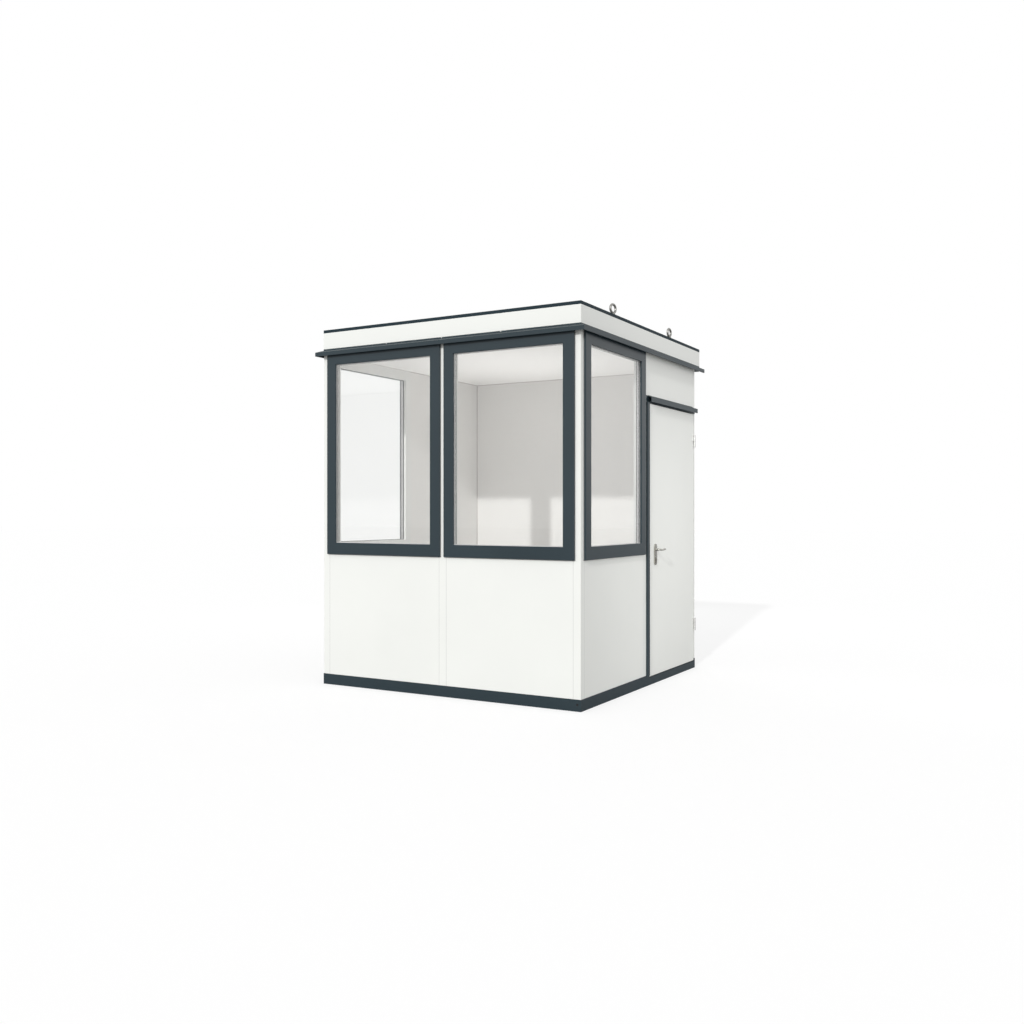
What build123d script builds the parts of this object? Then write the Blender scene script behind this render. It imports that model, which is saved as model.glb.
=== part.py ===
from build123d import *
import os

# Security guard booth, in millimetres.
# Origin: centre of the base on the ground. +X is the door side, -Y the front, +Z up.

# Plan
room_half = 980.0            # half of the clear room, inside face to centre
wall_thickness = 40.0
wall_setback = 2.5           # base and fascia stand this far proud of the walls
corner_post_width = 52.0
mid_post_width = 56.0
door_side_post_width = 51.0
panel_chamfer = 1.5          # bevel that makes the joint line beside a post

# Heights, stacked from the ground up
base_height = 74.5
ceiling_height = 2350.0      # underside of the ceiling above the ground
ceiling_thickness = 41.0
fascia_height = 113.5
cap_height = 22.0
deck_rise = 7.5              # deck surface above the top of the fascia

# Roof
rear_overhang = 107.5
fascia_thickness = 18.0
trim_sheet = 2.5             # folded sheet of the drip trims
trim_reach = 45.0            # nose of the drip trim, out from the wall
trim_nose_drop = 53.0        # nose underside below the top of the wall
trim_nose_height = 27.0
trim_slope_drop = 9.0        # where the sloped top meets the upstand, below the top of the wall
trim_return = 9.0
trim_foot_gap = 2.0          # upstand foot above the window frames

# Windows
window_overlap = 12.5        # frame laps this far onto the posts and panels
window_low = 929.0           # underside of the frame
window_stile = 78.0          # outer edge of the frame to the glass opening, at both sides
window_sill = 82.0           # the same at the bottom
window_head = 90.5           # the same at the top
window_proud = 16.0
window_bevel = 2.0
window_corner_radius = 4.0
glass_front = 2.0            # front face of the pane, out from the wall face
glass_thickness = 24.0
glass_rebate = 14.0          # how far the frame lips over the pane
glass_gap = 2.0              # pane edge to the frame
bead_thickness = 3.0

# Doorway and door leaf
jamb_proud = 15.0
jamb_proud_width = 36.0
jamb_flush_width = 23.0
jamb_stop_width = 15.0       # stop behind the leaf's closing edge
stop_depth = 25.0            # stops reach this far into the room
leaf_gap = 5.0
leaf_closing_gap = 7.0
leaf_sill_lap = 14.5         # leaf hangs this far below the top of the base
leaf_height = 1937.0
head_height = 50.0
head_stop_drop = 15.0
hinge_post_width = 72.0
hinge_flange = 14.0          # strip of the hinge post beside the leaf
leaf_edge_radius = 1.5

# Drip rail over the door
rail_reach = 28.0
rail_nose_rise = 6.0         # nose underside above the underside of the head
rail_nose_height = 33.0
rail_slope_rise = 7.0        # slope from the nose up to the upstand
rail_upstand = 6.0
rail_return = 6.0
rail_upstand_end = 50.0      # upstand stops this far short of the back corner

# Hinges
knuckle_radius = 7.5
knuckle_gap = 0.5            # knuckle to the leaf face
hinge_half_height = 49.0
hinge_from_foot = 284.0      # middle of the lower hinge above the foot of the leaf
hinge_from_top = 210.0       # middle of the upper hinge below the top of the leaf
hinge_pin_radius = 4.0
hinge_pin_clearance = 0.05
hinge_running_gap = 0.3
hinge_plate = 3.0
hinge_leaf_plate = 28.0
knuckle_cap = 6.0

# Handle set
handle_setback = 100.0       # spindle from the leaf's closing edge
spindle_rise = 898.0         # spindle above the foot of the leaf
plate_width = 42.0
plate_above = 41.0           # plate above the spindle
plate_below = 110.5          # plate below the spindle
plate_thickness = 8.0
lever_stand_off = 43.0       # lever centre line, out from the leaf face
lever_radius = 6.5
lever_length = 104.0
lever_waist = 32.0           # lowest point of the wavy grip, from the spindle
lever_dip = 3.0
lever_rise = 1.5             # tip above the spindle
lever_bend = 14.0
lever_wave_radius = 120.0
lever_tip_run = 2.0          # straight end past the last bend
neck_radius = 9.0
neck_clearance = 0.3
spindle_side = 8.0
spindle_hole_radius = 7.0
cylinder_drop = 72.0         # lock cylinder below the spindle
cylinder_radius = 8.5
cylinder_web = 10.0
cylinder_height = 33.0
cylinder_proud = 3.0

# Lifting eyes
eye_inset = 37.0             # eye centre from the wall face
eye_spacing = 1027.0
eye_boss_radius = 20.0
eye_boss_height = 34.0       # boss above the deck
eye_ring_radius = 28.0       # to the centre of the bar
eye_bar_radius = 8.0
eye_turn_front = 13.0        # front rings stand this far off square, as screwed in
eye_turn_rear = 4.0

# Flats of the bent round bars
lever_sides = 10
eye_sides = 16

# Values that follow
wall_half = room_half + wall_thickness
outline_half = wall_half + wall_setback
fascia_back = outline_half + rear_overhang
wall_top = ceiling_height + ceiling_thickness
fascia_top = wall_top + fascia_height
cap_top = fascia_top + cap_height
deck_top = fascia_top + deck_rise
bay_inner = mid_post_width / 2
bay_outer = wall_half - corner_post_width
opening_width = bay_outer - bay_inner
bay_centre = (bay_outer + bay_inner) / 2
window_width = opening_width + 2 * window_overlap
window_high = ceiling_height + window_overlap
window_height = window_high - window_low
window_centre = (window_high + window_low) / 2
sill_height = window_low + window_overlap
jamb_start = -bay_inner + door_side_post_width
jamb_proud_end = jamb_start + jamb_proud_width
jamb_end = jamb_proud_end + jamb_flush_width
leaf_front = jamb_end + leaf_closing_gap
leaf_low = base_height - leaf_sill_lap
leaf_high = leaf_low + leaf_height
flange_start = wall_half - hinge_flange
leaf_back = flange_start - leaf_gap
leaf_inner = room_half + leaf_gap
head_low = leaf_high + leaf_gap
hinge_x = wall_half + knuckle_radius + knuckle_gap
hinge_y = (leaf_back + flange_start) / 2
handle_y = leaf_front + handle_setback
spindle_height = leaf_low + spindle_rise
lever_x = wall_half + lever_stand_off
roof_centre = (fascia_back - outline_half) / 2

FRONT, RIGHT, BACK, LEFT = 0, 90, 180, 270


def save(name, shape):
    """Write one node."""
    export_step(shape, f"parts/{name}.step")


def block(x0, x1, y0, y1, z0, z1):
    """A plain block between two corners."""
    centre = ((x0 + x1) / 2, (y0 + y1) / 2, (z0 + z1) / 2)
    return Pos(*centre) * Box(x1 - x0, y1 - y0, z1 - z0)


def bar_along_x(points, x0, x1):
    """Extrude an outline of (y, z) points from x0 to x1."""
    outline = Polyline(*[(x0, y, z) for y, z in points], close=True)
    return extrude(make_face(outline), x1 - x0, dir=(1, 0, 0))


def bar_along_y(points, y0, y1):
    """Extrude an outline of (x, z) points from y0 to y1."""
    outline = Polyline(*[(x, y0, z) for x, z in points], close=True)
    return extrude(make_face(outline), y1 - y0, dir=(0, 1, 0))


def bar_along_z(points, z0, z1):
    """Extrude an outline of (x, y) points from z0 to z1."""
    outline = Polyline(*[(x, y, z0) for x, y in points], close=True)
    return extrude(make_face(outline), z1 - z0, dir=(0, 0, 1))


def on_side(side, shape):
    """Turn a piece made for the front wall onto another side."""
    return Rot(0, 0, side) * shape


def outline_bars(back, width, z0, z1):
    """Four bars with mitred ends round the base or the roof, keyed by side."""
    outer = [(-outline_half, -outline_half), (outline_half, -outline_half),
             (outline_half, back), (-outline_half, back)]
    inner = [(-outline_half + width, -outline_half + width), (outline_half - width, -outline_half + width),
             (outline_half - width, back - width), (-outline_half + width, back - width)]
    bars = {}
    for index, side in enumerate(("front", "right", "back", "left")):
        after = (index + 1) % len(outer)
        corners = [outer[index], outer[after], inner[after], inner[index]]
        bars[side] = bar_along_z(corners, z0, z1)
    return bars


def make_base():
    """Base beams, with the right one cut down under the door leaf, and the floor cassette."""
    bars = outline_bars(outline_half, outline_half - room_half, 0, base_height)
    doorway = block(room_half, outline_half, jamb_end, flange_start, leaf_low - leaf_gap, base_height)
    for side, bar in bars.items():
        save(f"base_{side}", bar - doorway if side in ("right", "back") else bar)
    save("floor", block(-room_half, room_half, -room_half, room_half, 0, base_height))


def wall_panel(x0, x1, z0, z1):
    """Front wall panel with bevelled upright edges, so a joint line shows beside each post."""
    face = -wall_half
    points = [(x0 + panel_chamfer, face), (x1 - panel_chamfer, face), (x1, face + panel_chamfer),
              (x1, -room_half), (x0, -room_half), (x0, face + panel_chamfer)]
    return bar_along_z(points, z0, z1)


def corner_post():
    """L-shaped post for the front right corner."""
    leg = wall_half - corner_post_width
    points = [(wall_half, -wall_half), (wall_half, -leg), (room_half, -leg), (room_half, -room_half),
              (leg, -room_half), (leg, -wall_half)]
    return bar_along_z(points, base_height, ceiling_height)


def mid_post(x0, x1):
    """Post between two bays of the front wall."""
    return block(x0, x1, -wall_half, -room_half, base_height, ceiling_height)


def make_posts():
    """Three corner posts and a post in the middle of each side."""
    corners = [on_side(side, corner_post()) for side in (FRONT, LEFT, BACK)]
    save("corner_posts", Compound(corners))
    middles = [on_side(side, mid_post(-bay_inner, bay_inner)) for side in (FRONT, LEFT, BACK)]
    middles.append(on_side(RIGHT, mid_post(-bay_inner, jamb_start)))
    save("mid_posts", Compound(middles))


def make_hinge_post():
    """Post at the back right corner, rebated for the leaf up to the door head."""
    post = block(wall_half - hinge_post_width, wall_half, room_half, wall_half, base_height, ceiling_height)
    rebate = block(room_half, wall_half, room_half, flange_start, base_height, head_low)
    save("hinge_post", post - rebate)


def make_panels():
    """Wall panels: below the windows, over the door, and full height at the back."""
    low = wall_panel(bay_inner, bay_outer, base_height, sill_height)
    low_mirror = wall_panel(-bay_outer, -bay_inner, base_height, sill_height)
    tall = wall_panel(bay_inner, bay_outer, base_height, ceiling_height)
    tall_mirror = wall_panel(-bay_outer, -bay_inner, base_height, ceiling_height)
    beside_hinge = wall_panel(-wall_half + hinge_post_width, -bay_inner, base_height, ceiling_height)
    over_door = wall_panel(jamb_start, room_half, head_low + head_height, ceiling_height)
    save("front_panels", Compound([low, low_mirror]))
    save("right_panel", on_side(RIGHT, low_mirror))
    save("left_panels", Compound([on_side(LEFT, low), on_side(LEFT, tall_mirror)]))
    save("back_panels", Compound([on_side(BACK, tall), on_side(BACK, beside_hinge)]))
    save("over_door_panel", on_side(RIGHT, over_door))


def glass_opening(growth, z0, z1):
    """Block the size of the glass opening, grown by so much on every side."""
    half = window_width / 2 - window_stile + growth
    low = -window_height / 2 + window_sill - growth
    high = window_height / 2 - window_head + growth
    return block(-half, half, low, high, z0, z1)


def wall_opening(z0, z1):
    """Block the size of the opening in the wall."""
    half = window_height / 2 - window_overlap
    return block(-opening_width / 2, opening_width / 2, -half, half, z0, z1)


def window_frame():
    """Outer frame: face that laps onto the wall, body in the opening, lip over the pane."""
    face = Pos(0, 0, window_proud / 2) * Box(window_width, window_height, window_proud)
    face = fillet(face.edges().filter_by(Axis.Z), window_corner_radius)
    face -= glass_opening(0, 0, window_proud)
    face = chamfer(face.faces().sort_by(Axis.Z)[-1].edges(), window_bevel)
    rebate = glass_opening(glass_rebate, -wall_thickness, glass_front)
    return face + wall_opening(-wall_thickness, 0) - rebate


def window_pane():
    """Double pane, against the back of the frame's lip."""
    return glass_opening(glass_rebate - glass_gap, glass_front - glass_thickness, glass_front)


def window_bead():
    """White inner bead that holds the pane and covers the frame's inner face."""
    back = glass_front - glass_thickness
    inner = -wall_thickness - bead_thickness
    bead = wall_opening(inner, -wall_thickness) + glass_opening(glass_rebate, -wall_thickness, back)
    return bead - glass_opening(0, inner, back)


def make_windows():
    """Four windows of one size: two in front, one in the front bay of each side."""
    places = {"front_left": (FRONT, -bay_centre), "front_right": (FRONT, bay_centre),
              "right": (RIGHT, -bay_centre), "left": (LEFT, bay_centre)}
    frame = window_frame()
    pane = window_pane()
    bead = window_bead()
    panes = []
    beads = []
    for name, (side, offset) in places.items():
        place = Rot(0, 0, side) * Pos(offset, -wall_half, window_centre) * Rot(90, 0, 0)
        save(f"window_frame_{name}", place * frame)
        panes.append(place * pane)
        beads.append(place * bead)
    save("window_glass", Compound(panes))
    save("window_beads", Compound(beads))


def make_roof():
    """Ceiling on the walls, deck, fascia, edge cap and the soffit under the rear overhang."""
    save("ceiling", block(-wall_half, wall_half, -wall_half, wall_half, ceiling_height, wall_top))
    inner = outline_half - fascia_thickness
    save("roof_deck", block(-inner, inner, -inner, fascia_back - fascia_thickness, wall_top, deck_top))
    for side, bar in outline_bars(fascia_back, fascia_thickness, wall_top, fascia_top).items():
        save(f"fascia_{side}", bar)
    for side, bar in outline_bars(fascia_back, fascia_thickness, fascia_top, cap_top).items():
        save(f"edge_cap_{side}", bar)
    save("rear_soffit", block(-wall_half, wall_half, wall_half, fascia_back, ceiling_height, wall_top))


def drip_profile():
    """Folded sheet: upstand, sloped top, nose and a small return, as (outward, z) points."""
    sheet = trim_sheet
    nose = trim_reach
    low = wall_top - trim_nose_drop
    high = low + trim_nose_height
    slope = wall_top - trim_slope_drop
    foot = window_high + trim_foot_gap
    return [(0, wall_top), (sheet, wall_top), (sheet, slope), (nose, high), (nose, low),
            (nose - trim_return, low), (nose - trim_return, low + sheet), (nose - sheet, low + sheet),
            (nose - sheet, high - sheet), (sheet, slope - sheet), (sheet, foot), (0, foot)]


def make_drip_trims():
    """Drip trims under the fascia, mitred at the two front corners."""
    reach = wall_half + trim_reach
    low = wall_top - trim_nose_drop
    front = bar_along_x([(-wall_half - out, z) for out, z in drip_profile()], -reach, reach)
    front_plan = [(-wall_half, -wall_half), (wall_half, -wall_half), (reach, -reach), (-reach, -reach)]
    save("drip_trim_front", front & bar_along_z(front_plan, low, wall_top))
    for name, way in (("right", 1), ("left", -1)):
        profile = [(way * (wall_half + out), z) for out, z in drip_profile()]
        bar = bar_along_y(profile, -reach, fascia_back)
        plan = [(way * wall_half, -wall_half), (way * reach, -reach), (way * reach, fascia_back),
                (way * wall_half, fascia_back)]
        save(f"drip_trim_{name}", bar & bar_along_z(plan, low, wall_top))


def make_door_frame():
    """Closing jamb with its proud cover and stop, and the head with its stop."""
    stop = room_half - stop_depth
    stop_side = jamb_end + jamb_stop_width
    cover = wall_half + jamb_proud
    jamb = [(stop, jamb_start), (cover, jamb_start), (cover, jamb_proud_end), (wall_half, jamb_proud_end),
            (wall_half, jamb_end), (room_half, jamb_end), (room_half, stop_side), (stop, stop_side)]
    save("door_jamb", bar_along_z(jamb, base_height, head_low))
    top = head_low + head_height
    stop_end = wall_half - hinge_post_width
    lintel = block(room_half, wall_half, jamb_start, room_half, head_low, top)
    over_jamb = block(stop, room_half, jamb_start, room_half, head_low, top)
    hanging = block(stop, room_half, stop_side, stop_end, head_low - head_stop_drop, head_low)
    save("door_head", lintel + over_jamb + hanging)


def make_door_rail():
    """Drip rail over the door, from the jamb's cover on. Its upstand stops short of the corner."""
    sheet = trim_sheet
    nose = wall_half + rail_reach
    low = head_low + rail_nose_rise
    high = low + rail_nose_height
    slope = high + rail_slope_rise
    top = slope + rail_upstand
    points = [(wall_half, top), (wall_half + sheet, top), (wall_half + sheet, slope), (nose, high),
              (nose, low), (nose - rail_return, low), (nose - rail_return, low + sheet),
              (nose - sheet, low + sheet), (nose - sheet, high - sheet), (wall_half + sheet, slope - sheet),
              (wall_half + sheet, head_low), (wall_half, head_low)]
    rail = bar_along_y(points, jamb_proud_end, wall_half)
    end = wall_half - rail_upstand_end
    rail -= block(wall_half, wall_half + sheet, end, wall_half, slope, top)
    save("door_rail", rail)


def spindle_cut(radius, x0, x1):
    """Round bar on the lever's axis."""
    length = x1 - x0
    return Pos((x0 + x1) / 2, handle_y, spindle_height) * Rot(0, 90, 0) * Cylinder(radius, length)


def cylinder_bar(growth, x0, x1):
    """Profile of the lock cylinder, a round barrel over a narrow web, along X."""
    centre = spindle_height - cylinder_drop
    radius = cylinder_radius + growth
    low = centre - cylinder_height + cylinder_radius - growth
    half = cylinder_web / 2 + growth
    barrel = Pos((x0 + x1) / 2, handle_y, centre) * Rot(0, 90, 0) * Cylinder(radius, x1 - x0)
    return barrel + block(x0, x1, handle_y - half, handle_y + half, low, centre)


def make_door_leaf():
    """Door leaf with the holes for the spindle and the lock cylinder."""
    leaf = block(leaf_inner, wall_half, leaf_front, leaf_back, leaf_low, leaf_high)
    leaf = fillet(leaf.edges().filter_by(Axis.Z), leaf_edge_radius)
    leaf -= spindle_cut(spindle_hole_radius, leaf_inner, wall_half)
    leaf -= cylinder_bar(0, leaf_inner, wall_half)
    save("door_leaf", leaf)


def handle_plate(x0, x1):
    """Long plate with round ends, a bush hole and a cylinder hole."""
    centre = spindle_height + (plate_above - plate_below) / 2
    face = Plane.YZ * SlotOverall(plate_above + plate_below, plate_width, rotation=90)
    plate = Pos(x0, handle_y, centre) * extrude(face, x1 - x0)
    plate -= spindle_cut(neck_radius + neck_clearance, x0, x1)
    return plate - cylinder_bar(0, x0, x1)


def make_handle_set():
    """Two handle plates and the lock cylinder through both."""
    outside = handle_plate(wall_half, wall_half + plate_thickness)
    inside = handle_plate(leaf_inner - plate_thickness, leaf_inner)
    save("handle_plates", Compound([outside, inside]))
    ends = plate_thickness + cylinder_proud
    save("lock_cylinder", cylinder_bar(0, leaf_inner - ends, wall_half + ends))


def lever(face, way):
    """Lever on one side of the leaf: neck, bend, wavy grip and a return towards the leaf."""
    grip = face + way * lever_stand_off
    tip = handle_y + lever_length
    tip_height = spindle_height + lever_rise
    points = [(face + way * plate_thickness / 2, handle_y, spindle_height), (grip, handle_y, spindle_height),
              (grip, handle_y + lever_waist, spindle_height - lever_dip), (grip, tip, tip_height),
              (grip - way * (lever_bend + lever_tip_run), tip, tip_height)]
    path = FilletPolyline(*points, radius=[lever_bend, lever_wave_radius, lever_bend])
    section = Plane(path @ 0, z_dir=path % 0) * RegularPolygon(lever_radius, lever_sides)
    grip_bar = sweep(section, path)
    neck_end = grip - way * lever_bend
    neck_start = face + way * plate_thickness / 4
    neck = spindle_cut(neck_radius, min(neck_start, neck_end), max(neck_start, neck_end))
    return grip_bar + neck


def make_levers():
    """Outside and inside levers on one square spindle."""
    outside = lever(wall_half, 1)
    inside = lever(leaf_inner, -1)
    half = spindle_side / 2
    start = leaf_inner - plate_thickness
    end = wall_half + plate_thickness
    spindle = block(start, end, handle_y - half, handle_y + half,
                    spindle_height - half, spindle_height + half)
    save("levers", outside + inside + spindle)


def knuckle(z0, z1):
    """Round barrel on the hinge axis."""
    return Pos(hinge_x, hinge_y, (z0 + z1) / 2) * Cylinder(knuckle_radius, z1 - z0)


def make_hinges():
    """Lift-off hinges: a lower half with the pin on the post, an upper half on the leaf."""
    fixed = []
    moving = []
    for level in (leaf_low + hinge_from_foot, leaf_high - hinge_from_top):
        low = level - hinge_half_height
        high = level + hinge_half_height
        pin_top = high - knuckle_cap
        lower = knuckle(low, level)
        lower += block(wall_half, wall_half + hinge_plate, hinge_y, wall_half, low, level)
        lower += Pos(hinge_x, hinge_y, (level + pin_top) / 2) * Cylinder(hinge_pin_radius, pin_top - level)
        fixed.append(lower)
        seat = level + hinge_running_gap
        upper = knuckle(seat, high)
        upper += block(wall_half, wall_half + hinge_plate, hinge_y - hinge_leaf_plate, hinge_y, seat, high)
        bore_top = pin_top + hinge_running_gap
        bore = Cylinder(hinge_pin_radius + hinge_pin_clearance, bore_top - seat)
        upper -= Pos(hinge_x, hinge_y, (seat + bore_top) / 2) * bore
        moving.append(upper)
    save("hinge_post_halves", Compound(fixed))
    save("hinge_leaf_halves", Compound(moving))


def make_lifting_eyes():
    """Four ring eyes on bosses near the side edges of the roof."""
    boss_top = deck_top + eye_boss_height
    ring_height = boss_top + eye_ring_radius + eye_bar_radius / 2
    section = Plane.XY * Pos(0, -eye_ring_radius) * RegularPolygon(eye_bar_radius, eye_sides)
    ring = revolve(section, Axis.X)
    eyes = []
    for x in (-(wall_half - eye_inset), wall_half - eye_inset):
        for reach, turn in ((-eye_spacing / 2, eye_turn_front), (eye_spacing / 2, eye_turn_rear)):
            y = roof_centre + reach
            boss = Pos(x, y, (deck_top + boss_top) / 2) * Cylinder(eye_boss_radius, eye_boss_height)
            eyes.append(boss + Pos(x, y, ring_height) * Rot(0, 0, -turn) * ring)
    save("lifting_eyes", Compound(eyes))


os.makedirs("parts", exist_ok=True)
make_base()
make_posts()
make_hinge_post()
make_panels()
make_windows()
make_roof()
make_drip_trims()
make_door_frame()
make_door_rail()
make_door_leaf()
make_handle_set()
make_levers()
make_hinges()
make_lifting_eyes()
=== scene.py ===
import math

import bmesh
import bpy
from mathutils import Matrix, Vector


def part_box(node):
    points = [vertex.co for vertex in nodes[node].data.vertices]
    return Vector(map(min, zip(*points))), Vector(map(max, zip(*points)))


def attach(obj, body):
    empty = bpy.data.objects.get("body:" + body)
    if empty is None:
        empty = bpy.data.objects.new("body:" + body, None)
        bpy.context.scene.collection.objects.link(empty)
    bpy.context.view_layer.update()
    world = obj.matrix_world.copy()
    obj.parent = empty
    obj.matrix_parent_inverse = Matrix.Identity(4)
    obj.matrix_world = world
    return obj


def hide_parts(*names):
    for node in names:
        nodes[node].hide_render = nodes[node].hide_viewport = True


# Security guard booth. Metres, origin at the centre of the base, +X the door side, -Y the front.
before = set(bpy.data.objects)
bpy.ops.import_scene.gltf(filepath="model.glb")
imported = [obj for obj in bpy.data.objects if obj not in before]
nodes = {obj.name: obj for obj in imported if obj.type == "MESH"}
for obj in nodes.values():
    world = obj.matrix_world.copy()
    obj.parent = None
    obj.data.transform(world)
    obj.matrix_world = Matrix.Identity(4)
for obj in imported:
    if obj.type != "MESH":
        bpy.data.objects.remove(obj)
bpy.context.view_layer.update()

# Camera, at the photograph's viewing angle. Turn in degrees, lens and sensor in millimetres
camera_place = (3.7076, -6.5197, 1.2277)
camera_turn = 30.0
camera_lens = 35.0
camera_sensor = 36.0

# Sun and sky. Angles in degrees
sun_travel = (-0.1535, 0.898, -0.413)
sun_strength = 1.57
sun_angle = 1.6
sky_strength = 0.83
background_strength = 1.0

# Floor. Its lift makes it white where the camera sees it and pale in the panes
floor_half = 60.0
floor_shade = 0.34
floor_roughness = 0.9
floor_lift = 0.645
mirror_lift = 0.5

# Colours, linear
plain_white = (1.0, 1.0, 1.0)
pane_clear = (0.985, 0.988, 0.985)
panel_white = (0.90, 0.91, 0.875)
inner_white = (0.90, 0.885, 0.865)
bead_white = (0.88, 0.88, 0.86)
anthracite = (0.021, 0.038, 0.048)
floor_grey = (0.40, 0.405, 0.40)
membrane_grey = (0.36, 0.37, 0.37)
seam_grey = (0.33, 0.34, 0.34)
zinc_grey = (0.36, 0.355, 0.335)
bright_steel = (0.90, 0.90, 0.88)
handle_grey = (0.54, 0.53, 0.49)
nickel_grey = (0.30, 0.285, 0.25)
brass_brown = (0.26, 0.24, 0.19)
alloy_grey = (0.62, 0.62, 0.63)
screw_grey = (0.66, 0.66, 0.64)
rubber_black = (0.018, 0.018, 0.019)
rubber_white = (0.82, 0.82, 0.81)
# Sealant round the window frames: a real joint, made dark to stand in as painted shade along the frames and
# under their sills
frame_sealant_and_shade_grey = (0.30, 0.30, 0.295)
room_joint_grey = (0.56, 0.52, 0.50)
panel_joint_grey = (0.38, 0.38, 0.37)

# A double pane mirrors as much as one face of this index
pane_ior = 2.2

# Noise keeps mostly between these values
noise_low = 0.3
noise_high = 0.7

# Grain of bare metal: the same every way, or drawn out along one axis
even = (1, 1, 1)
along_y = (1, 0.05, 1)
along_z = (1, 1, 0.05)

# Places of the sockets for colours on Blender's mix node
mix_share = 0
mix_first = 6
mix_second = 7
mix_result = 2

# Walls and windows, as in the CAD part. The faces of the pane are measured outward from the wall
wall_face = 1.020
room_face = 0.980
mid_post_half = 0.028
stile_width = 0.078
sill_width = 0.082
head_width = 0.0905
pane_front = 0.002
pane_back = -0.022

# Colours change this far past the room's walls, and this far in front of the outer walls
room_margin = 0.001
frame_margin = 0.0015

# Door and its lever, as in the CAD part
leaf_inner = 0.985
plate_thickness = 0.008
spindle_height = 0.958

# Turn of each side from the front, in degrees
front = 0
right = 90
back = 180
left = 270

# Edges that turn by more than this many degrees aren't smoothed. Bevels have this many steps
sharp_edge = 35.0
bevel_segments = 2


def put(tree, value, socket):
    """Link a socket to another one, or set a value on it."""
    if isinstance(value, bpy.types.NodeSocket):
        tree.links.new(value, socket)
    else:
        socket.default_value = value


def add_node(tree, kind, settings=None, **inputs):
    """Add a node. Settings are its properties, and each input is a value or a socket to link."""
    made = tree.nodes.new(kind)
    for key, value in (settings or {}).items():
        setattr(made, key, value)
    for key, value in inputs.items():
        put(tree, value, made.inputs[key.replace("_", " ")])
    return made


def worked_out(tree, operation, *values):
    """Result of a maths node."""
    made = add_node(tree, "ShaderNodeMath", {"operation": operation})
    for value, socket in zip(values, made.inputs):
        put(tree, value, socket)
    return made.outputs["Value"]


def opaque(colour):
    """A colour with an alpha of one."""
    return (*colour, 1.0)


def new_material(name):
    """A material with its tree and its main shader."""
    material = bpy.data.materials.new(name)
    material.use_nodes = True
    tree = material.node_tree
    return material, tree, tree.nodes["Principled BSDF"]


def place_of(tree):
    """Place of each point, in metres."""
    return add_node(tree, "ShaderNodeTexCoord").outputs["Object"]


def noise(tree, place, scale, detail):
    """Even noise around one half."""
    return add_node(tree, "ShaderNodeTexNoise", Vector=place, Scale=scale, Detail=detail).outputs["Fac"]


def ranged(tree, value, low, high, start=noise_low, end=noise_high):
    """A value from start to end brought to low to high."""
    made = add_node(tree, "ShaderNodeMapRange", Value=value, From_Min=start, From_Max=end,
                    To_Min=low, To_Max=high)
    return made.outputs["Result"]


def mixed(tree, share, first, second):
    """Colour that goes from first to second as share goes from 0 to 1."""
    made = add_node(tree, "ShaderNodeMix", {"data_type": "RGBA"})
    for index, value in ((mix_share, share), (mix_first, first), (mix_second, second)):
        put(tree, value, made.inputs[index])
    return made.outputs[mix_result]


def mixed_shader(tree, share, first, second):
    """Shader that goes from first to second as share goes from 0 to 1."""
    made = add_node(tree, "ShaderNodeMixShader")
    for value, socket in zip((share, first, second), made.inputs):
        put(tree, value, socket)
    return made.outputs["Shader"]


def bumped(tree, height, depth):
    """Normal of a surface that stands proud by depth metres where height is one."""
    return add_node(tree, "ShaderNodeBump", Height=height, Distance=depth).outputs["Normal"]


def outside_of(tree, place, reach):
    """One where a point lies further than reach from the middle, across or along."""
    parts = add_node(tree, "ShaderNodeSeparateXYZ", Vector=place).outputs
    across = worked_out(tree, "ABSOLUTE", parts["X"])
    along = worked_out(tree, "ABSOLUTE", parts["Y"])
    return worked_out(tree, "GREATER_THAN", worked_out(tree, "MAXIMUM", across, along), reach)


def paint(name, colour, roughness, level, cloud=0.03, peel=0.00005, peel_scale=420.0, inner=None, reach=0.0):
    """Coated surface: faint broad change of tone and gloss, and a fine orange peel.
    Inside of reach from the middle it has the inner colour."""
    cloud_scale = 1.6
    gloss_change = 0.04
    material, tree, shader = new_material(name)
    place = place_of(tree)
    broad = noise(tree, place, cloud_scale, detail=3.0)
    fine = noise(tree, place, peel_scale, detail=2.0)
    dark = opaque([part * (1 - cloud) for part in colour])
    tone = mixed(tree, ranged(tree, broad, 0, 1), dark, opaque(colour))
    if inner:
        tone = mixed(tree, outside_of(tree, place, reach), opaque(inner), tone)
    gloss = ranged(tree, broad, roughness - gloss_change, roughness + gloss_change)
    put(tree, tone, shader.inputs["Base Color"])
    put(tree, gloss, shader.inputs["Roughness"])
    put(tree, bumped(tree, fine, peel), shader.inputs["Normal"])
    put(tree, level, shader.inputs["Specular IOR Level"])
    return material


def metal(name, colour, roughness, stretch=even):
    """Bare metal with faint spots and a fine grain, drawn out along the axes where stretch is small."""
    grain_scale = 900.0
    grain_depth = 0.00003
    spot_scale = 60.0
    spot_shade = 0.8
    gloss_change = 0.08
    material, tree, shader = new_material(name)
    place = place_of(tree)
    drawn = add_node(tree, "ShaderNodeMapping", Vector=place, Scale=stretch).outputs["Vector"]
    fine = noise(tree, drawn, grain_scale, detail=3.0)
    spots = noise(tree, place, spot_scale, detail=4.0)
    dark = opaque([part * spot_shade for part in colour])
    tone = mixed(tree, ranged(tree, spots, 0, 1), dark, opaque(colour))
    gloss = ranged(tree, fine, roughness - gloss_change, roughness + gloss_change)
    put(tree, tone, shader.inputs["Base Color"])
    put(tree, gloss, shader.inputs["Roughness"])
    put(tree, bumped(tree, fine, grain_depth), shader.inputs["Normal"])
    put(tree, 1.0, shader.inputs["Metallic"])
    return material


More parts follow.
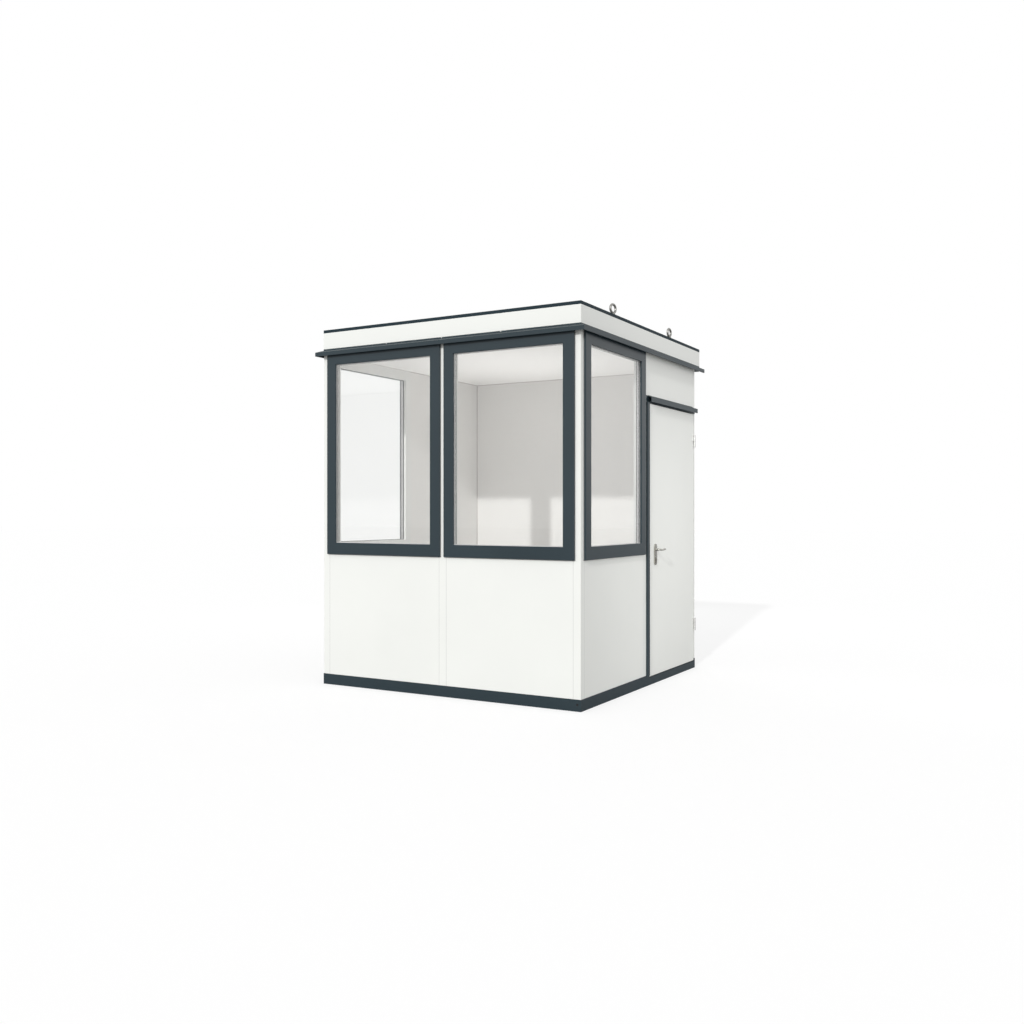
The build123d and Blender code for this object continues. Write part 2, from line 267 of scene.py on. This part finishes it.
def glass(name):
    """Clear double pane: lets light through, and its near faces mirror more at a slant."""
    material, tree, shader = new_material(name)
    tree.nodes.remove(shader)
    slant = add_node(tree, "ShaderNodeFresnel", IOR=pane_ior).outputs["Fac"]
    far_face = add_node(tree, "ShaderNodeNewGeometry").outputs["Backfacing"]
    near_face = ranged(tree, far_face, low=1.0, high=0.0, start=0.0, end=1.0)
    share = worked_out(tree, "MULTIPLY", slant, near_face)
    clear = add_node(tree, "ShaderNodeBsdfTransparent", Color=opaque(pane_clear))
    mirror = add_node(tree, "ShaderNodeBsdfAnisotropic", Color=opaque(plain_white), Roughness=0.0)
    both = mixed_shader(tree, share, clear.outputs["BSDF"], mirror.outputs["BSDF"])
    put(tree, both, tree.nodes["Material Output"].inputs["Surface"])
    return material


def dress(names, material):
    """Give CAD nodes a material."""
    for name in names:
        body = nodes[name]
        body.data.materials.clear()
        body.data.materials.append(material)


def nodes_of(start):
    """Names of the CAD nodes that begin with start."""
    return [name for name in nodes if name.startswith(start)]


def add_object(name, data):
    """Put an object in the scene."""
    made = bpy.data.objects.new(name, data)
    bpy.context.scene.collection.objects.link(made)
    return made


def aim(lamp, direction):
    """Turn a lamp so that it shines in a direction."""
    lamp.rotation_euler = Vector(direction).to_track_quat("-Z", "Y").to_euler()


def make_camera():
    """Camera of the photograph: level, turned to the left."""
    data = bpy.data.cameras.new("camera")
    data.lens = camera_lens
    data.sensor_width = camera_sensor
    camera = add_object("camera", data)
    camera.location = camera_place
    camera.rotation_euler = (math.radians(90), 0, math.radians(camera_turn))
    bpy.context.scene.camera = camera


def seen_directly(tree):
    """One for rays from the camera, mirrors and glass, and none for the light that falls on things."""
    path = add_node(tree, "ShaderNodeLightPath").outputs
    seen = worked_out(tree, "MAXIMUM", path["Is Camera Ray"], path["Is Glossy Ray"])
    return worked_out(tree, "MAXIMUM", seen, path["Is Transmission Ray"])


def make_sky():
    """Soft even sky, white where it is seen."""
    world = bpy.data.worlds.new("world")
    world.use_nodes = True
    bpy.context.scene.world = world
    tree = world.node_tree
    tree.nodes.clear()
    white = opaque(plain_white)
    sky = add_node(tree, "ShaderNodeBackground", Color=white, Strength=sky_strength)
    shown = add_node(tree, "ShaderNodeBackground", Color=white, Strength=background_strength)
    both = mixed_shader(tree, seen_directly(tree), sky.outputs["Background"], shown.outputs["Background"])
    add_node(tree, "ShaderNodeOutputWorld", Surface=both)


def make_sun():
    """One weak sun from the front, that falls on the door side at a slant."""
    data = bpy.data.lights.new("sun", "SUN")
    data.energy = sun_strength
    data.angle = math.radians(sun_angle)
    aim(add_object("sun", data), sun_travel)


def soft_lamp(name, power, size, place, direction, spread=180.0):
    """Square lamp that isn't seen itself. Power in watts, spread in degrees."""
    data = bpy.data.lights.new(name, "AREA")
    data.energy = power
    data.size = size
    data.spread = math.radians(spread)
    lamp = add_object(name, data)
    lamp.location = place
    lamp.visible_camera = False
    lamp.visible_glossy = False
    lamp.visible_transmission = False
    aim(lamp, direction)


def make_light():
    """Sky, sun, and soft lamps on the room's floor, beside the door and behind the booth."""
    make_sky()
    make_sun()
    soft_lamp("room_fill", power=9.0, size=1.8, place=(0, 0, 0.12), direction=(0, 0, 1), spread=75.0)
    soft_lamp("side_fill", power=3.8, size=1.6, place=(4.6, 0.42, 1.0), direction=(-1, 0, 0), spread=55.0)
    soft_lamp("back_fill", power=22.0, size=3.0, place=(-2.6, 5.2, 1.6), direction=(0.45, -0.9, 0))


def make_floor():
    """Pale floor that shows white, with the shadow beside the booth."""
    material, tree, shader = new_material("stage_floor")
    path = add_node(tree, "ShaderNodeLightPath").outputs
    seen = ranged(tree, path["Is Camera Ray"], low=0.0, high=floor_lift, start=0.0, end=1.0)
    mirrored = ranged(tree, path["Is Singular Ray"], low=0.0, high=mirror_lift, start=0.0, end=1.0)
    put(tree, opaque([floor_shade] * 3), shader.inputs["Base Color"])
    put(tree, floor_roughness, shader.inputs["Roughness"])
    put(tree, 0.0, shader.inputs["Specular IOR Level"])
    put(tree, opaque(plain_white), shader.inputs["Emission Color"])
    put(tree, worked_out(tree, "MAXIMUM", seen, mirrored), shader.inputs["Emission Strength"])
    corners = [(x * floor_half, y * floor_half, 0) for x, y in ((-1, -1), (1, -1), (1, 1), (-1, 1))]
    mesh = bpy.data.meshes.new("stage_floor")
    mesh.from_pydata(corners, [], [(0, 1, 2, 3)])
    mesh.materials.append(material)
    floor = add_object("stage_floor", mesh)


def zinc_steel(name):
    """Zinc-plated steel of the lifting eyes."""
    return metal(name, zinc_grey, roughness=0.32)


def brushed_steel(name):
    """Brushed steel of the handles."""
    return metal(name, handle_grey, roughness=0.24, stretch=along_y)


def membrane(name, colour):
    """Roofing sheet."""
    return paint(name, colour, roughness=0.8, level=0.3, cloud=0.15, peel=0.0002, peel_scale=200.0)


def sealant_paint(name, colour):
    """Sealant in the joints."""
    return paint(name, colour, roughness=0.6, level=0.3)


def dress_walls_and_roof():
    """Finish of the panels, posts, fascias, trims, floor and roof."""
    white = paint("white_panel", panel_white, roughness=0.42, level=0.35, inner=inner_white,
                  reach=room_face + room_margin)
    dress([name for name in nodes if name.endswith(("panels", "panel", "posts"))], white)
    dress(["hinge_post", "ceiling", "door_leaf"] + nodes_of("fascia_"), white)
    coat = {"cloud": 0.12, "peel": 0.00006, "peel_scale": 600.0}
    dark = paint("anthracite_metal", anthracite, roughness=0.45, level=0.42, **coat)
    dress(["rear_soffit", "door_jamb", "door_head", "door_rail"], dark)
    dress(nodes_of("base_") + nodes_of("drip_trim_"), dark)
    dress(nodes_of("edge_cap_"), paint("anthracite_cap", anthracite, roughness=0.6, level=0.12, **coat))
    vinyl = {"cloud": 0.2, "peel": 0.0001, "peel_scale": 300.0}
    dress(["floor"], paint("floor_vinyl", floor_grey, roughness=0.55, level=0.4, **vinyl))
    dress(["roof_deck"], membrane("roof_membrane", membrane_grey))
    dress(["lifting_eyes"], zinc_steel("zinc_steel"))


def dress_windows():
    """Finish of the frames, which are dark outside and white in the room, their beads and panes."""
    foil = paint("anthracite_frame", anthracite, roughness=0.38, level=0.45, cloud=0.12, peel=0.00004,
                 peel_scale=900.0, inner=bead_white, reach=wall_face + frame_margin)
    dress(nodes_of("window_frame_"), foil)
    dress(["window_beads"], paint("white_bead", bead_white, roughness=0.35, level=0.4))
    dress(["window_glass"], glass("clear_glass"))


def dress_fittings():
    """Finish of the hinges, handles and lock."""
    dress(["hinge_post_halves", "hinge_leaf_halves"], metal("hinge_steel", bright_steel, roughness=0.5))
    dress(["handle_plates", "levers"], brushed_steel("brushed_steel"))
    dress(["lock_cylinder"], metal("nickelled_lock", nickel_grey, roughness=0.3))


def circle(count):
    """Cosine and sine of evenly spaced angles round a full turn."""
    angles = [2 * math.pi * step / count for step in range(count)]
    return [(math.cos(angle), math.sin(angle)) for angle in angles]


def upright_turn(degrees):
    """Turn about the upright axis."""
    return Matrix.Rotation(math.radians(degrees), 4, "Z")


def join_rings(bm, ring, after):
    """Add the faces between two rings with as many points each."""
    for index in range(len(ring)):
        other = (index + 1) % len(ring)
        bm.faces.new((ring[index], ring[other], after[other], after[index]))


def close_ends(bm, rings):
    """Add a face on the first ring and on the last."""
    bm.faces.new(list(reversed(rings[0])))
    bm.faces.new(rings[-1])


def box_into(bm, low, high, spin=Matrix.Identity(4)):
    """Add a box between two corners, then turned by spin."""
    low = Vector(low)
    high = Vector(high)
    verts = bmesh.ops.create_cube(bm, size=1.0)["verts"]
    matrix = spin @ Matrix.Translation((low + high) / 2) @ Matrix.Diagonal((*(high - low), 1))
    bmesh.ops.transform(bm, matrix=matrix, verts=verts)


def turned_into(bm, start, axis, profile, sides=32):
    """Add a turned shape: rings of (run along the axis, radius), closed at both ends."""
    start = Vector(start)
    turn = Vector(axis).to_track_quat("Z", "Y").to_matrix()
    rings = []
    for run, radius in profile:
        points = [start + turn @ Vector((radius * x, radius * y, run)) for x, y in circle(sides)]
        rings.append([bm.verts.new(point) for point in points])
    for ring, after in zip(rings, rings[1:]):
        join_rings(bm, ring, after)
    close_ends(bm, rings)


def swept_into(bm, points, radius, sides, closed=False):
    """Add a round bar along points."""
    points = [Vector(point) for point in points]
    count = len(points)
    rings = []
    side = None
    for index, point in enumerate(points):
        before = points[index - 1] if closed or index else point
        after = points[(index + 1) % count] if closed or index < count - 1 else point
        ahead = (after - before).normalized()
        if side is None:
            side = ahead.orthogonal().normalized()
        side = (side - ahead * side.dot(ahead)).normalized()
        up = ahead.cross(side)
        rings.append([bm.verts.new(point + radius * (x * side + y * up)) for x, y in circle(sides)])
    for ring, after in zip(rings, rings[1:]):
        join_rings(bm, ring, after)
    if closed:
        join_rings(bm, rings[-1], rings[0])
    else:
        close_ends(bm, rings)


def rounded_path(points, radii, steps=8):
    """Points of a path whose inner corners are rounded."""
    points = [Vector(point) for point in points]
    path = [points[0]]
    for before, corner, after, radius in zip(points, points[1:], points[2:], radii):
        back_way = (before - corner).normalized()
        ahead = (after - corner).normalized()
        half = back_way.angle(ahead) / 2
        centre = corner + (back_way + ahead).normalized() * (radius / math.sin(half))
        start = corner + back_way * (radius / math.tan(half)) - centre
        end = corner + ahead * (radius / math.tan(half)) - centre
        whole = start.angle(end)
        for step in range(steps + 1):
            share = step / steps
            part = (math.sin((1 - share) * whole) * start + math.sin(share * whole) * end) / math.sin(whole)
            path.append(centre + part)
    path.append(points[-1])
    return path


def ring_into(bm, place, rect, profile):
    """Add a mitred ring along a rectangle, from a profile of (inset, height) in the plane of place."""
    loops = []
    for inset, height in profile:
        x0, x1, y0, y1 = grown(rect, -inset)
        corners = ((x0, y0), (x1, y0), (x1, y1), (x0, y1))
        loops.append([bm.verts.new(place @ Vector((x, y, height))) for x, y in corners])
    for index, loop in enumerate(loops):
        join_rings(bm, loop, loops[(index + 1) % len(loops)])


def grown(rect, growth):
    """A rectangle made larger by growth on every side."""
    x0, x1, y0, y1 = rect
    return (x0 - growth, x1 + growth, y0 - growth, y1 + growth)


def make_piece(name, bm, material, body, bevel=0.0, replaced=None):
    """Turn a bmesh into a piece that rides on a body."""
    bmesh.ops.recalc_face_normals(bm, faces=bm.faces)
    mesh = bpy.data.meshes.new(name)
    bm.to_mesh(mesh)
    bm.free()
    mesh.polygons.foreach_set("use_smooth", [True] * len(mesh.polygons))
    mesh.set_sharp_from_angle(angle=math.radians(sharp_edge))
    mesh.materials.append(material)
    piece = add_object(name, mesh)
    if bevel:
        edge = piece.modifiers.new("edges", "BEVEL")
        edge.width = bevel
        edge.segments = bevel_segments
        edge.limit_method = "ANGLE"
    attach(piece, body)
    if replaced:
        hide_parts(replaced)


def window_places():
    """Place and size of each window: its matrix, with Z outward, its glass opening and its outline."""
    for name, side in (("front_left", front), ("front_right", front), ("right", right), ("left", left)):
        low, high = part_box("window_frame_" + name)
        spin = upright_turn(side)
        centre = spin.inverted() @ ((low + high) / 2)
        centre.y = -wall_face
        place = spin @ Matrix.Translation(centre) @ Matrix.Rotation(math.radians(90), 4, "X")
        size = high - low
        half_width = max(size.x, size.y) / 2
        half_height = size.z / 2
        outline = (-half_width, half_width, -half_height, half_height)
        opening = (stile_width - half_width, half_width - stile_width, sill_width - half_height,
                   half_height - head_width)
        yield place, opening, outline


def seal_profile(face, height, flat, width):
    """Profile of a seal on a pane's face: height off the face, flat on top and sloped to its full width."""
    return ((0, face), (0, face + height), (flat, face + height), (width, face))


def add_frame_sealant_and_shade(sealant):
    """Fillet of dark grey sealant between each window frame and the wall. Its dark grey is partly a real
    joint and partly painted shade along the frames' edges and under their sills.
    """
    leg = 0.0028
    sealant_and_shade_fillets = bmesh.new()
    for place, _, outline in window_places():
        ring_into(sealant_and_shade_fillets, place, grown(outline, leg), ((0, 0), (leg, 0), (leg, leg)))
    make_piece("frame_sealant_and_shade", sealant_and_shade_fillets, sealant, "booth")


def add_window_seals(pale, dark):
    """A low pale seal in front of each pane and a dark one behind it."""
    outer = bmesh.new()
    inner = bmesh.new()
    for place, opening, _ in window_places():
        ring_into(outer, place, opening, seal_profile(pane_front, height=0.001, flat=0.0015, width=0.0022))
        ring_into(inner, place, opening, seal_profile(pane_back, height=-0.0025, flat=0.002, width=0.003))
    make_piece("glazing_seals", outer, pale, "booth")
    make_piece("bead_seals", inner, dark, "booth")


def add_pane_spacers(alloy):
    """Spacer between the two sheets of each pane, mostly behind the frame."""
    sheet = 0.004
    width = 0.013
    behind_frame = 0.010
    low = pane_back + sheet
    high = pane_front - sheet
    spacers = bmesh.new()
    for place, opening, _ in window_places():
        profile = ((0, low), (0, high), (width, high), (width, low))
        ring_into(spacers, place, grown(opening, behind_frame), profile)
    make_piece("pane_spacers", spacers, alloy, "booth")


def add_room_joints(sealant):
    """Sealant in the corners of the room, apart from the one with the hinge post, and round the ceiling."""
    radius = 0.004
    sunk = 0.001
    leg = 0.005
    corner = room_face - sunk
    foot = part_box("floor")[1].z
    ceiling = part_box("ceiling")[0].z
    joints = bmesh.new()
    for x, y in ((-corner, -corner), (-corner, corner), (corner, -corner)):
        swept_into(joints, ((x, y, foot), (x, y, ceiling)), radius, sides=12)
    edge = (-room_face, room_face, -room_face, room_face)
    ring_into(joints, Matrix.Translation((0, 0, ceiling)), edge, ((0, 0), (leg, 0), (0, -leg)))
    make_piece("room_joints", joints, sealant, "booth")


def add_panel_joints(sealant):
    """Sealant lines in the bevels between the panels and their posts."""
    width = 0.0013
    sunk = 0.0002
    depth = 0.0015
    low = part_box("front_panels")[0].z
    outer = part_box("front_panels")[1].x
    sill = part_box("window_frame_front_left")[0].z
    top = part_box("ceiling")[0].z
    beside_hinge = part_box("hinge_post")[0].x
    over_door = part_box("over_door_panel")[0]
    # Side of the booth, place along it, way to the panel, foot and head
    lines = ((front, -outer, 1, low, sill),
             (front, -mid_post_half, -1, low, sill),
             (front, mid_post_half, 1, low, sill),
             (front, outer, -1, low, sill),
             (right, -outer, 1, low, sill),
             (right, -mid_post_half, -1, low, sill),
             (right, over_door.y, 1, over_door.z, top),
             (left, mid_post_half, 1, low, sill),
             (left, outer, -1, low, sill),
             (left, -outer, 1, low, top),
             (left, -mid_post_half, -1, low, top),
             (back, -beside_hinge, 1, low, top),
             (back, -mid_post_half, -1, low, top),
             (back, mid_post_half, 1, low, top),
             (back, outer, -1, low, top))
    joints = bmesh.new()
    for side, x, way, foot, head in lines:
        x0, x1 = sorted((x, x + way * width))
        box_into(joints, (x0, sunk - wall_face, foot), (x1, depth - wall_face, head), upright_turn(side))
    make_piece("panel_joints", joints, sealant, "booth")


def add_trim_screws(steel):
    """Three screw heads on the front drip trim."""
    places = (0.450, -0.007, -0.464)
    below_top = 0.0045
    trim_sheet = 0.0025
    profile = ((0, 0.0042), (0.0012, 0.0042), (0.0024, 0.0032), (0.0028, 0.0018))
    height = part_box("drip_trim_front")[1].z - below_top
    heads = bmesh.new()
    for x in places:
        turned_into(heads, (x, -wall_face - trim_sheet, height), (0, -1, 0), profile, sides=20)
    make_piece("trim_screws", heads, steel, "booth")


def add_plinth_plug(rubber):
    """Round plug near the right end of the front plinth, hollow in its middle."""
    x = 0.997
    z = 0.042
    profile = ((0, 0.0075), (0.0012, 0.0075), (0.002, 0.0065), (0.0012, 0.0045), (0.0012, 0.001))
    plug = bmesh.new()
    turned_into(plug, (x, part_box("base_front")[0].y, z), (0, -1, 0), profile, sides=28)
    make_piece("plinth_plug", plug, rubber, "booth")


def add_door_seals(rubber):
    """Seals on the stops of the doorway: on the jamb, the head and the hinge post."""
    near = 0.002
    far = 0.013
    thick = 0.0035
    face = room_face + thick
    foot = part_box("floor")[1].z
    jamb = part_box("door_jamb")[1].y
    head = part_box("door_head")[0].z
    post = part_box("hinge_post")[0].y
    seals = bmesh.new()
    box_into(seals, (room_face, jamb - far, foot), (face, jamb - near, head))
    box_into(seals, (room_face, jamb, head + near), (face, post, head + far))
    box_into(seals, (room_face, post + near, foot), (face, post + far, head + far))
    make_piece("door_seals", seals, rubber, "booth", bevel=0.001)


def add_threshold(alloy):
    """Ribbed strip on the floor's edge in the doorway."""
    thick = 0.0018
    jamb_gap = 0.001
    post_gap = 0.034
    rib_top = 0.003
    rib_count = 4
    rib_start = 0.004
    rib_pitch = 0.005
    rib_width = 0.002
    rib_inset = 0.002
    low_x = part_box("door_jamb")[0].x
    floor_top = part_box("floor")[1].z
    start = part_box("door_jamb")[1].y + jamb_gap
    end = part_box("hinge_post")[0].y - post_gap
    strip = bmesh.new()
    box_into(strip, (low_x, start, floor_top), (room_face, end, floor_top + thick))
    for rib in range(rib_count):
        x = low_x + rib_start + rib * rib_pitch
        box_into(strip, (x, start + rib_inset, floor_top + thick),
                 (x + rib_width, end - rib_inset, floor_top + rib_top))
    make_piece("threshold", strip, alloy, "booth")


def handle_line():
    """Place of the lock, handles and spindle along the door."""
    low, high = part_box("lock_cylinder")
    return (low.y + high.y) / 2


def add_lock_details(brass, black):
    """Plug and key slot on both ends of the lock."""
    barrel_radius = 0.0085
    plug_length = 0.0008
    profile = ((0, 0.0068), (0.0005, 0.0068), (plug_length, 0.0062))
    slot_half_width = 0.0008
    slot_half_height = 0.0042
    slot_thickness = 0.00015
    low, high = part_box("lock_cylinder")
    y = handle_line()
    z = high.z - barrel_radius
    plugs = bmesh.new()
    slots = bmesh.new()
    for x, way in ((high.x, 1), (low.x, -1)):
        turned_into(plugs, (x, y, z), (way, 0, 0), profile)
        face = x + way * plug_length
        x0, x1 = sorted((face, face + way * slot_thickness))
        box_into(slots, (x0, y - slot_half_width, z - slot_half_height),
                 (x1, y + slot_half_width, z + slot_half_height))
    make_piece("lock_plugs", plugs, brass, "door")
    make_piece("key_slots", slots, black, "door")


def add_handle_screws(brass):
    """Two screws on the inside handle plate, each with a recess."""
    from_end = 0.012
    profile = ((0, 0.0038), (0.0008, 0.0038), (0.0018, 0.0030), (0.0012, 0.0018), (0.0008, 0.0004))
    low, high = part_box("handle_plates")
    heads = bmesh.new()
    for z in (low.z + from_end, high.z - from_end):
        turned_into(heads, (low.x, handle_line(), z), (-1, 0, 0), profile, sides=24)
    make_piece("handle_screws", heads, brass, "door")


def add_levers(steel):
    """Smooth levers on their necks, in place of the many-sided CAD ones."""
    bar_radius = 0.0065
    bend_radius = 0.014
    wave_radius = 0.120
    bar_start = 0.004
    waist = 0.032
    dip = 0.003
    rise = 0.0015
    return_length = 0.016
    neck_start = 0.002
    neck_radius = 0.009
    # Run from the neck's end, and radius
    neck_end = ((-0.004, neck_radius), (-0.001, 0.0082), (0, 0.0066))
    spindle_half = 0.004
    y = handle_line()
    z = spindle_height
    low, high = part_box("levers")
    tip = high.y - bar_radius
    bm = bmesh.new()
    for face, grip, way in ((wall_face, high.x - bar_radius, 1), (leaf_inner, low.x + bar_radius, -1)):
        points = ((face + way * bar_start, y, z), (grip, y, z), (grip, y + waist, z - dip),
                  (grip, tip, z + rise), (grip - way * return_length, tip, z + rise))
        path = rounded_path(points, (bend_radius, wave_radius, bend_radius))
        swept_into(bm, path, bar_radius, sides=24)
        reach = abs(grip - face) - bend_radius
        profile = [(neck_start, neck_radius)] + [(reach + run, radius) for run, radius in neck_end]
        turned_into(bm, (face, y, z), (way, 0, 0), profile)
    box_into(bm, (leaf_inner - plate_thickness, y - spindle_half, z - spindle_half),
             (wall_face + plate_thickness, y + spindle_half, z + spindle_half))
    make_piece("smooth_levers", bm, steel, "lever", replaced="levers")


def add_eyes(zinc):
    """Smooth ring eyes on turned bosses with a washer, in place of the many-sided CAD ones."""
    cad_boss_radius = 0.020
    middle = 0.05375
    half_spacing = 0.5135
    front_turn = -13.0
    rear_turn = -4.0
    ring_radius = 0.028
    bar_radius = 0.008
    boss_height = 0.034
    ring_steps = 56
    # Washer, then the boss, which narrows to its top
    profile = ((0, 0.019), (0.004, 0.019), (0.004, 0.0165), (0.007, 0.0165), (0.022, 0.0155), (0.030, 0.0150),
               (boss_height, 0.0120))
    low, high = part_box("lifting_eyes")
    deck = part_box("roof_deck")[1].z
    centre_z = deck + boss_height + ring_radius + bar_radius / 2
    reach = (high.x - low.x) / 2 - cad_boss_radius
    bm = bmesh.new()
    for x in (-reach, reach):
        for y, turn in ((middle - half_spacing, front_turn), (middle + half_spacing, rear_turn)):
            turned_into(bm, (x, y, deck), (0, 0, 1), profile)
            place = Matrix.Translation((x, y, centre_z)) @ upright_turn(turn)
            points = [place @ Vector((0, ring_radius * a, ring_radius * b)) for a, b in circle(ring_steps)]
            swept_into(bm, points, bar_radius, sides=24, closed=True)
    make_piece("smooth_eyes", bm, zinc, "booth", replaced="lifting_eyes")


def add_membrane_seams(sheet):
    """Two welded seams of the roof membrane and the fillet along its edge."""
    seam_shares = (0.34, 0.67)
    seam_inset = 0.012
    seam_half = 0.02
    seam_thickness = 0.0016
    fillet = ((0, 0), (0, 0.010), (0.003, 0.010), (0.014, 0))
    low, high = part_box("roof_deck")
    bm = bmesh.new()
    for share in seam_shares:
        y = low.y + (high.y - low.y) * share
        box_into(bm, (low.x + seam_inset, y - seam_half, high.z),
                 (high.x - seam_inset, y + seam_half, high.z + seam_thickness))
    ring_into(bm, Matrix.Translation((0, 0, high.z)), (low.x, high.x, low.y, high.y), fillet)
    make_piece("membrane_seams", bm, sheet, "booth", bevel=0.0006)


def add_details():
    """All the pieces that the CAD part leaves to the looks."""
    rubber = paint("seal_rubber", rubber_black, roughness=0.6, level=0.3, cloud=0.2, peel=0.00003,
                   peel_scale=700.0)
    pale_rubber = paint("glazing_rubber", rubber_white, roughness=0.5, level=0.35)
    alloy = metal("mill_alloy", alloy_grey, roughness=0.4, stretch=along_z)
    brass = metal("lock_brass", brass_brown, roughness=0.35)
    # The frame sealant's dark grey is partly painted shade along the window frames and under their sills
    add_frame_sealant_and_shade(sealant_paint("frame_sealant_and_shade", frame_sealant_and_shade_grey))
    add_window_seals(pale_rubber, rubber)
    add_pane_spacers(alloy)
    add_room_joints(sealant_paint("joint_sealant", room_joint_grey))
    add_panel_joints(sealant_paint("panel_sealant", panel_joint_grey))
    add_trim_screws(metal("screw_steel", screw_grey, roughness=0.32))
    add_plinth_plug(rubber)
    add_door_seals(rubber)
    add_threshold(alloy)
    add_lock_details(brass, rubber)
    add_handle_screws(brass)
    add_levers(brushed_steel("lever_steel"))
    add_eyes(zinc_steel("eye_zinc"))
    add_membrane_seams(membrane("seam_membrane", seam_grey))


bpy.context.scene.view_settings.view_transform = "Standard"
make_camera()
make_light()
make_floor()
dress_walls_and_roof()
dress_windows()
dress_fittings()
add_details()
